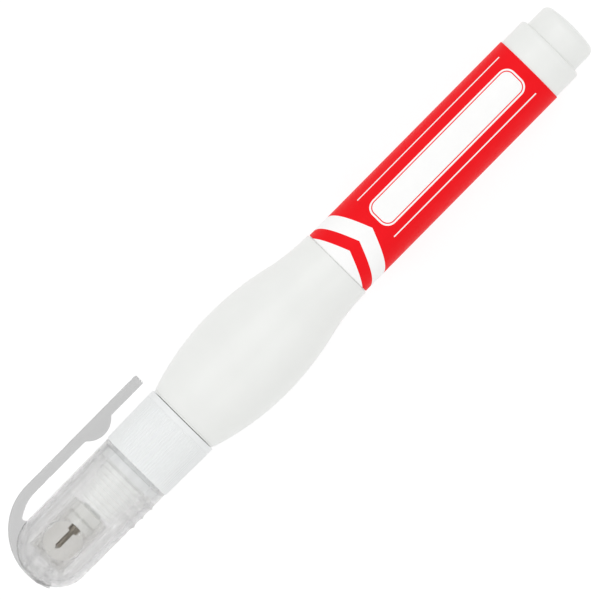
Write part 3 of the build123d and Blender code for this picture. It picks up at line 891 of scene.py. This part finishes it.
def dome_reach(angle, z):
    """Distance from the bend's centre to the clip's face on the dome, into which the last ring bites."""
    face = DOME_RADIUS + ROOT_GAP
    if angle > END_ANGLE - BEND_STEP / 2:
        face = DOME_RADIUS - END_BITE
    near = 0.0
    far = BEND_RADIUS
    while far - near > PRECISION:
        middle = (near + far) / 2
        x, y = bend_point(angle, middle)
        out = max(math.hypot(y, z) - DOME_FLAT, 0.0)
        if math.hypot(x - DOME_START_X, out) < face:
            near = middle
        else:
            far = middle
    return near


def inner_reach(angle):
    """Distance from the bend's centre to the clip's inner face, which lies on the dome past the root."""
    if over_dome(angle):
        return dome_reach(angle, 0.0)
    past = angle - SLOT_END_MIDDLE
    if past < 0:
        thickness = CLIP_THICKNESS + ROOT_THICKENING * smooth(0.0, SLOT_END_MIDDLE, angle)
        return BEND_RADIUS - thickness
    beside = min(SLOT_END_REACH * math.sin(past), SLOT_END_RADIUS)
    return SLOT_END_REACH * math.cos(past) + math.sqrt(SLOT_END_RADIUS**2 - beside**2)


def arm_inner(x):
    """Height of the straight arm's inner face, with the bump that grips a pocket."""
    flat = CLIP_OUTER - CLIP_THICKNESS
    reach = BUMP_RADIUS**2 - (x - BUMP_X) ** 2
    if reach <= 0:
        return flat
    bump = flat - BUMP_HEIGHT + BUMP_RADIUS - math.sqrt(reach)
    share = max(BUMP_BLEND - abs(flat - bump), 0.0) / BUMP_BLEND
    return min(flat, bump) - share**2 * BUMP_BLEND / 4


def clip_ring(outer, inner, half_width, edge):
    """Rounded oblong across the clip, between a point of its outer face and one of its inner face."""
    run = (outer[0] - inner[0], outer[1] - inner[1])
    thickness = math.hypot(*run)
    corners = ((thickness - edge, 1, 0), (edge, 1, 90), (edge, -1, 180), (thickness - edge, -1, 270))
    ring = []
    for height, side, start in corners:
        for step in range(EDGE_STEPS + 1):
            angle = math.radians(start + 90 * step / EDGE_STEPS)
            level = height + edge * math.cos(angle)
            z = side * (half_width - edge) + edge * math.sin(angle)
            ring.append((inner[0] + run[0] * level / thickness, inner[1] + run[1] * level / thickness, z))
    return ring


def follow_dome(point, angle):
    """Point of the clip's end, moved with the dome that falls away to either side of the clip's middle."""
    reach = math.hypot(point[0] - BEND_CENTRE[0], point[1] - BEND_CENTRE[1])
    middle = dome_reach(angle, 0.0)
    share = (BEND_RADIUS - reach) / (BEND_RADIUS - middle)
    reach -= share * (middle - dome_reach(angle, point[2]))
    return (*bend_point(angle, reach), point[2])


def clip_band():
    """Clip from the closed end of the cap, round its bend and along the arm to the tip."""
    half = CLIP_WIDTH / 2
    rings = []
    angles = steps_between(END_ANGLE, ROOT_ANGLE + ROOT_STEP, BEND_STEP)
    for index in range(SLOT_END_STEPS):
        turn = (math.pi / 2 + SLOT_END_TURN) * (1 - index / SLOT_END_STEPS)
        across = SLOT_END_RADIUS * math.sin(turn)
        along = SLOT_END_REACH + SLOT_END_RADIUS * math.cos(turn)
        angles.append(SLOT_END_MIDDLE + math.atan2(across, along))
    angles += steps_between(SLOT_END_MIDDLE, 0.0, BEND_STEP)[:-1]
    for angle in angles:
        outer = bend_point(angle, BEND_RADIUS)
        inner = bend_point(angle, inner_reach(angle))
        edge = CLIP_EDGE + (NOSE_EDGE - CLIP_EDGE) * smooth(ROOT_ANGLE, math.pi / 2, angle)
        ring = clip_ring(outer, inner, half, edge)
        if over_dome(angle):
            ring = [follow_dome(point, angle) for point in ring]
        rings.append(ring)
    corner = CLIP_TIP_X - CLIP_TIP_CORNER
    stations = steps_between(BEND_CENTRE[0], corner, ARM_ROW)
    turns = [math.pi / 2 * step / CLIP_TIP_STEPS for step in range(1, CLIP_TIP_STEPS + 1)]
    stations += [corner + CLIP_TIP_CORNER * math.sin(turn) for turn in turns]
    for x in stations:
        past = max(x - corner, 0.0)
        narrow = CLIP_TIP_CORNER - math.sqrt(max(CLIP_TIP_CORNER**2 - past**2, 0.0))
        near = min(max(CLIP_EDGE - (CLIP_TIP_X - x), 0.0), CLIP_EDGE)
        thin = CLIP_EDGE - math.sqrt(CLIP_EDGE**2 - near**2)
        edge = CLIP_EDGE - CLIP_TIP_THINNING * near
        rings.append(clip_ring((x, CLIP_OUTER - thin), (x, arm_inner(x) + thin), half - narrow, edge))
    return skin("clip_band", rings)


def feed(tree, socket, value):
    """Gives an input an output or a fixed value."""
    if isinstance(value, bpy.types.NodeSocket):
        tree.links.new(value, socket)
    else:
        socket.default_value = value


def fill(tree, node, values):
    """Feeds inputs of a node by their names, with underscores for the spaces in them."""
    for name, value in values.items():
        feed(tree, node.inputs[name.replace("_", " ")], value)


def add_node(tree, kind, **values):
    """New node of a kind, with some of its inputs fed."""
    node = tree.nodes.new(f"ShaderNode{kind}")
    fill(tree, node, values)
    return node


def add_math(tree, operation, *values):
    """Result of an operation on numbers or outputs."""
    node = add_node(tree, "Math")
    node.operation = operation
    for socket, value in zip(node.inputs, values):
        feed(tree, socket, value)
    return node.outputs[0]


class Finish:
    """One material and short ways to add nodes to it."""

    def __init__(self, name):
        self.material = bpy.data.materials.new(name)
        self.material.use_nodes = True
        self.tree = self.material.node_tree
        self.shader = self.tree.nodes["Principled BSDF"]
        self.place = self.node("TexCoord").outputs["Object"]

    def set(self, **values):
        """Feeds inputs of the shader."""
        fill(self.tree, self.shader, values)

    def node(self, kind, **values):
        """New node in the material."""
        return add_node(self.tree, kind, **values)

    def axes(self):
        """Places on the piece along the three axes, in metres."""
        return list(self.node("SeparateXYZ", Vector=self.place).outputs)

    def math(self, operation, *values):
        """Result of an operation in the material."""
        return add_math(self.tree, operation, *values)

    def length(self, x, y):
        """Length of a run with two sides."""
        squares = [self.math("MULTIPLY", value, value) for value in (x, y)]
        return self.math("SQRT", self.math("ADD", *squares))

    def noise(self, scale, detail=3.0, stretch=(1, 1, 1)):
        """Noise over the piece, with a scale in spots per metre and a stretch along each axis."""
        place = self.node("Mapping", Vector=self.place, Scale=stretch).outputs["Vector"]
        return self.node("TexNoise", Vector=place, Scale=scale, Detail=detail).outputs["Fac"]

    def span(self, value, low=0.0, high=1.0, start=NOISE_LOW, end=NOISE_HIGH):
        """Value taken from one range, start to end, to another, low to high."""
        node = self.node("MapRange", Value=value, From_Min=start, From_Max=end, To_Min=low, To_Max=high)
        return node.outputs["Result"]

    def mix(self, share, first, second):
        """Colour between two colours or outputs."""
        node = self.node("Mix", Factor=share)
        node.data_type = "RGBA"
        ends = [socket for socket in node.inputs if socket.type == "RGBA"]
        for socket, value in zip(ends, (first, second)):
            if not isinstance(value, bpy.types.NodeSocket):
                value = (*value, 1.0)
            feed(self.tree, socket, value)
        return [socket for socket in node.outputs if socket.type == "RGBA"][0]

    def bump(self, height, strength, depth):
        """Fine relief on the surface, with a depth in millimetres."""
        node = self.node("Bump", Height=height, Strength=strength, Distance=depth * MM)
        self.set(Normal=node.outputs["Normal"])


def white_plastic(name, colour, roughness, grain, softness):
    """Moulded white plastic with a faint cloudiness, a satin skin and a grain of a depth in millimetres."""
    finish = Finish(name)
    cloud = finish.span(finish.noise(scale=140.0))
    shade = [value * CLOUD_SHADE for value in colour]
    finish.set(Base_Color=finish.mix(cloud, shade, colour))
    gloss = [roughness + change for change in CLOUD_GLOSS]
    finish.set(Roughness=finish.span(finish.noise(scale=700.0), *gloss))
    finish.bump(finish.noise(scale=5200.0, detail=2.0), strength=0.25, depth=grain)
    finish.set(Subsurface_Weight=softness, Subsurface_Radius=(1.0, 1.0, 0.95), Subsurface_Scale=1.1 * MM)
    return finish.material


def clear_plastic(name, roughness, bending, cover, tint_and_shade, smoke_and_shade):
    """Clear plastic with flow marks; its grey skin and depth are partly its own grey and partly painted
    shade, and near the axis the grey is left out as painted light.
    """
    finish = Finish(name)
    flow = finish.noise(scale=260.0, detail=2.0, stretch=(0.35, 1, 1))
    # The grey tint in the base colour is partly the plastic's own and partly painted shade that shows
    # through clear plastic.
    shade = [value * FLOW_SHADE for value in tint_and_shade]
    skin_tint_and_shade = finish.mix(finish.span(flow), shade, tint_and_shade)
    # Painted light: the grey tint fades out near the axis, so the clear parts in the middle of the dome
    # look lighter.
    radius = finish.length(*finish.axes()[1:])
    core = finish.span(radius, 1.0, 0.0, CORE_RADIUS * MM, (CORE_RADIUS + CORE_FADE) * MM)
    finish.set(Base_Color=finish.mix(core, skin_tint_and_shade, (1.0, 1.0, 1.0)))
    gloss = [roughness * share for share in FLOW_GLOSS]
    finish.set(Roughness=finish.span(finish.noise(scale=420.0), *gloss))
    finish.bump(flow, strength=0.05, depth=0.05)
    finish.set(Transmission_Weight=1.0, IOR=bending, Alpha=cover)
    # Grey smoke in the depth: partly the plastic's own, partly painted shade that shows through it.
    depth = finish.node("VolumeAbsorption", Color=SMOKE_AND_SHADE_GREY, Density=smoke_and_shade)
    fill(finish.tree, finish.tree.nodes["Material Output"], {"Volume": depth.outputs["Volume"]})
    return finish.material


def steel(name, colour, roughness, stretch):
    """Bright steel with drawing marks along its length."""
    finish = Finish(name)
    marks = finish.noise(scale=9000.0, detail=4.0, stretch=stretch)
    dark = [value * MARK_SHADE for value in colour]
    finish.set(Base_Color=finish.mix(finish.span(marks), dark, colour))
    gloss = [roughness + change for change in MARK_GLOSS]
    finish.set(Roughness=finish.span(marks, *gloss))
    finish.bump(marks, strength=0.2, depth=0.01)
    finish.set(Metallic=1.0)
    return finish.material


def oblong(finish, x, y, length, width, corner):
    """Distance outside a rounded oblong about the middle of x and y."""
    over_x = finish.math("SUBTRACT", finish.math("ABSOLUTE", x), length / 2 - corner)
    over_y = finish.math("SUBTRACT", finish.math("ABSOLUTE", y), width / 2 - corner)
    outside = finish.length(*[finish.math("MAXIMUM", over, 0.0) for over in (over_x, over_y)])
    inside = finish.math("MINIMUM", finish.math("MAXIMUM", over_x, over_y), 0.0)
    return finish.math("SUBTRACT", finish.math("ADD", outside, inside), corner)


def within(finish, distance):
    """One where a distance is below zero, with a fine soft edge."""
    return finish.span(distance, 1.0, 0.0, -PRINT_EDGE / 2, PRINT_EDGE / 2)


def line(finish, distance, width):
    """One along a line of a width, at zero distance."""
    return within(finish, finish.math("SUBTRACT", finish.math("ABSOLUTE", distance), width / 2))


def label_print():
    """Glossy printed film: a red field with a blank panel and pinstripes, and a chevron at its front."""
    finish = Finish("label_print")
    x, y, z = [finish.math("DIVIDE", place, MM) for place in finish.axes()]
    angle = finish.math("ARCTAN2", y, z)
    around = finish.math("MULTIPLY", angle, LABEL_RADIUS)
    turned = finish.math("ABSOLUTE", angle)
    fold = finish.math("MINIMUM", turned, finish.math("SUBTRACT", math.pi, turned))
    lead = finish.math("ADD", x, finish.math("MULTIPLY", fold, FIELD_SLOPE * LABEL_RADIUS))
    field = within(finish, finish.math("SUBTRACT", FIELD_TIP, lead))
    middle = (BAND_FRONT + BAND_BACK) / 2
    band = line(finish, finish.math("SUBTRACT", lead, middle), BAND_FRONT - BAND_BACK)
    red = finish.math("MAXIMUM", field, band)
    length = PANEL_END - PANEL_START
    from_middle = finish.math("SUBTRACT", x, (PANEL_START + PANEL_END) / 2)
    across = finish.math("SUBTRACT", around, PANEL_MIDDLE)
    edge = oblong(finish, from_middle, across, length, PANEL_WIDTH, PANEL_CORNER)
    keyline = line(finish, finish.math("ADD", edge, KEYLINE_INSET), KEYLINE_WIDTH)
    panel = finish.math("SUBTRACT", within(finish, edge), keyline)
    behind = finish.math("ARCTAN2", finish.math("MULTIPLY", y, -1.0), finish.math("MULTIPLY", z, -1.0))
    behind = finish.math("MULTIPLY", behind, LABEL_RADIUS)
    back = oblong(finish, from_middle, behind, BACK_PANEL_LENGTH, BACK_PANEL_WIDTH, BACK_PANEL_CORNER)
    white = finish.math("MAXIMUM", panel, within(finish, back))
    along = within(finish, finish.math("SUBTRACT", finish.math("ABSOLUTE", from_middle), length / 2))
    for place in PINSTRIPES:
        stripe = line(finish, finish.math("SUBTRACT", around, place), PINSTRIPE_WIDTH)
        white = finish.math("MAXIMUM", white, finish.math("MULTIPLY", stripe, along))
    ink = finish.math("MULTIPLY", red, finish.math("SUBTRACT", 1.0, white))
    cloud = finish.span(finish.noise(scale=300.0))
    finish.set(Base_Color=finish.mix(ink, finish.mix(cloud, *PAPER), finish.mix(cloud, *INK)))
    finish.set(Roughness=finish.span(finish.noise(scale=900.0), low=0.42, high=0.5))
    raised = finish.math("MULTIPLY", ink, INK_RELIEF)
    finish.bump(finish.math("ADD", finish.noise(scale=2600.0), raised), strength=0.15, depth=0.01)
    finish.set(Specular_IOR_Level=0.08)
    return finish.material


def dress(piece, body, material, slot, *nodes):
    """Gives a new piece its material, its body and the nodes that it stands for."""
    piece.data.materials.append(material)
    if body:
        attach(piece, body)
    if nodes:
        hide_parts(*nodes)
    return piece


def let_light_in(piece):
    """Lets the lamps and the surround light what a clear piece covers."""
    piece.visible_shadow = False
    piece.visible_diffuse = False


def carry_over(node, material):
    """Gives a node that stays as it is a new material."""
    mesh = frame["nodes"][node].data
    mesh.materials.clear()
    mesh.materials.append(material)


def pen():
    """All pieces of the pen, with their materials and bodies."""
    bottle_white = white_plastic(
        "bottle_white", colour=(0.835, 0.845, 0.825), roughness=0.34, grain=0.012, softness=0.12
    )
    collar_white = white_plastic(
        "collar_white", colour=(0.825, 0.84, 0.84), roughness=0.36, grain=0.008, softness=0.10
    )
    # Nozzle white is brighter than the bottle and collar: partly its own white, partly painted light that
    # makes up for the dim light inside the cap.
    nozzle_white = white_plastic(
        "nozzle_white", colour=(0.88, 0.89, 0.875), roughness=0.42, grain=0.008, softness=0.10
    )
    # Tint and smoke of the clear plastics: partly their own grey, partly painted shade that shows through
    # them.
    cap_clear = clear_plastic(
        "cap_clear", roughness=0.16, bending=1.38, cover=0.7, tint_and_shade=(0.83, 0.825, 0.825), smoke_and_shade=55.0
    )
    clip_clear = clear_plastic(
        "clip_clear", roughness=0.12, bending=1.3, cover=0.5, tint_and_shade=(0.9, 0.9, 0.9), smoke_and_shade=220.0
    )
    inner_clear = clear_plastic(
        "inner_clear", roughness=0.2, bending=1.12, cover=1.0, tint_and_shade=(0.82, 0.815, 0.8), smoke_and_shade=20.0
    )
    tip_steel = steel("tip_steel", colour=(0.34, 0.31, 0.27), roughness=0.26, stretch=(0.04, 1, 1))
    valve_steel = steel("valve_steel", colour=(0.55, 0.54, 0.52), roughness=0.26, stretch=(0.05, 1, 1))
    ball_steel = steel("ball_steel", colour=(0.60, 0.60, 0.60), roughness=0.18, stretch=(1, 1, 1))

    dress(bottle(), "pen", bottle_white, "bottle_white", "barrel")
    dress(thread("neck_thread", THREAD_START, NECK_RADIUS, 1), "pen", bottle_white, "bottle_white")
    start = THREAD_START + THREAD_PITCH / 2
    dress(thread("collar_thread", start, COLLAR_BORE, -1), "pen", collar_white, "collar_white")
    dress(label(), "pen", label_print(), "label_film", "label_sleeve")
    dress(collar(), "pen", collar_white, "collar_white", "screw_collar")
    dress(nozzle(), "pen", nozzle_white, "nozzle_white", "nozzle")
    dress(tip(), "pen", tip_steel, "tip_steel", "metal_tip")
    coil = dress(spring(), "pen", valve_steel, "valve_steel", "valve_spring")
    shell = dress(cap_shell(), "cap", cap_clear, "cap_clear", "cap_shell")
    sleeve = dress(inner_cap(), "cap", inner_clear, "inner_clear", "inner_cap")
    band = dress(clip_band(), None, clip_clear, "cap_clear", "pocket_clip")
    for piece in (shell, sleeve, band):
        let_light_in(piece)
    carry_over("valve_needle", valve_steel)
    carry_over("spring_retainer", nozzle_white)
    carry_over("mixing_ball", ball_steel)

    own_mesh(coil)
    flex = bend_point(ROOT_ANGLE, BEND_RADIUS - CLIP_THICKNESS / 2)
    start = (flex[0] * MM, flex[1] * MM, 0)
    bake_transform(band)


def matte(tree, white):
    """Plain grey or white surface in a material."""
    return add_node(tree, "BsdfDiffuse", Color=(white, white, white, 1)).outputs[0]


def floor_paper():
    """White paper, near white with a faint shadow where it is seen, straight or in and through the pen."""
    material = bpy.data.materials.new("floor_paper")
    material.use_nodes = True
    tree = material.node_tree
    tree.nodes.clear()
    glow = add_node(tree, "Emission", Strength=FLOOR_GLOW)
    seen = add_node(tree, "AddShader")
    tree.links.new(matte(tree, FLOOR_SEEN), seen.inputs[0])
    tree.links.new(glow.outputs[0], seen.inputs[1])
    path = add_node(tree, "LightPath").outputs
    share = add_math(tree, "MAXIMUM", path["Is Glossy Ray"], path["Is Transmission Ray"])
    share = add_math(tree, "MAXIMUM", path["Is Camera Ray"], share)
    choice = add_node(tree, "MixShader", Fac=share)
    tree.links.new(matte(tree, FLOOR_WHITE), choice.inputs[1])
    tree.links.new(seen.outputs[0], choice.inputs[2])
    add_node(tree, "OutputMaterial", Surface=choice.outputs[0])
    return material


def floor():
    """Plain pale floor under the pen."""
    half = FLOOR_SIZE / 2 * MM
    level = PEN_LOW[2] * MM
    mesh = bpy.data.meshes.new("floor")
    corners = [(-half, -half, level), (half, -half, level), (half, half, level), (-half, half, level)]
    mesh.from_pydata(corners, [], [(0, 1, 2, 3)])
    mesh.materials.append(floor_paper())
    new_object("floor", mesh)


def world():
    """Even white surround, a little brighter at the horizon than above."""
    surround = bpy.data.worlds.new("studio")
    bpy.context.scene.world = surround
    surround.use_nodes = True
    tree = surround.node_tree
    place = add_node(tree, "TexCoord").outputs["Generated"]
    height = add_node(tree, "SeparateXYZ", Vector=place).outputs["Z"]
    light = add_node(tree, "MapRange", Value=height, To_Min=HORIZON_LIGHT, To_Max=ZENITH_LIGHT)
    background = {"Color": (1, 1, 1, 1), "Strength": light.outputs["Result"]}
    fill(tree, tree.nodes["Background"], background)


def softbox(name, place, turn, size, power):
    """Large soft lamp at a place in millimetres, turned about the pen's length."""
    data = bpy.data.lights.new(name, "AREA")
    data.shape = "RECTANGLE"
    data.size = size[0] * MM
    data.size_y = size[1] * MM
    data.energy = power
    lamp = new_object(name, data)
    lamp.location = [value * MM for value in place]
    lamp.rotation_euler = (math.radians(turn), 0, 0)


def lights():
    """Soft lamps along the pen: one on either side and one high above."""
    softbox("lamp_clip_side", place=(PEN_MIDDLE, 260, 420), turn=-32, size=(520, 160), power=0.35)
    softbox("lamp_far_side", place=(PEN_MIDDLE, -260, 420), turn=32, size=(520, 160), power=0.25)
    softbox("lamp_above", place=(PEN_MIDDLE, 110, 640), turn=-9.8, size=(420, 140), power=0.3)


def camera():
    """Camera straight above the pen, turned as in the photograph."""
    data = bpy.data.cameras.new("photo_camera")
    data.sensor_width = SENSOR
    data.lens = SENSOR * CAMERA_HEIGHT / (IMAGE_SIZE / PIXELS_PER_MM)
    data.clip_start = NEAREST_SEEN * MM
    data.clip_end = FARTHEST_SEEN * MM
    right = (IMAGE_SIZE / 2 - PEN_MIDDLE_PIXEL[0]) / PIXELS_PER_MM
    up = (PEN_MIDDLE_PIXEL[1] - IMAGE_SIZE / 2) / PIXELS_PER_MM
    x = PEN_MIDDLE + right * math.cos(PEN_TILT) + up * math.sin(PEN_TILT)
    y = up * math.cos(PEN_TILT) - right * math.sin(PEN_TILT)
    piece = new_object("photo_camera", data)
    piece.location = (x * MM, y * MM, CAMERA_HEIGHT * MM)
    piece.rotation_euler = (0, 0, -PEN_TILT)
    bpy.context.scene.camera = piece


camera()
pen()
floor()
world()
lights()
bpy.context.scene.view_settings.view_transform = "Standard"
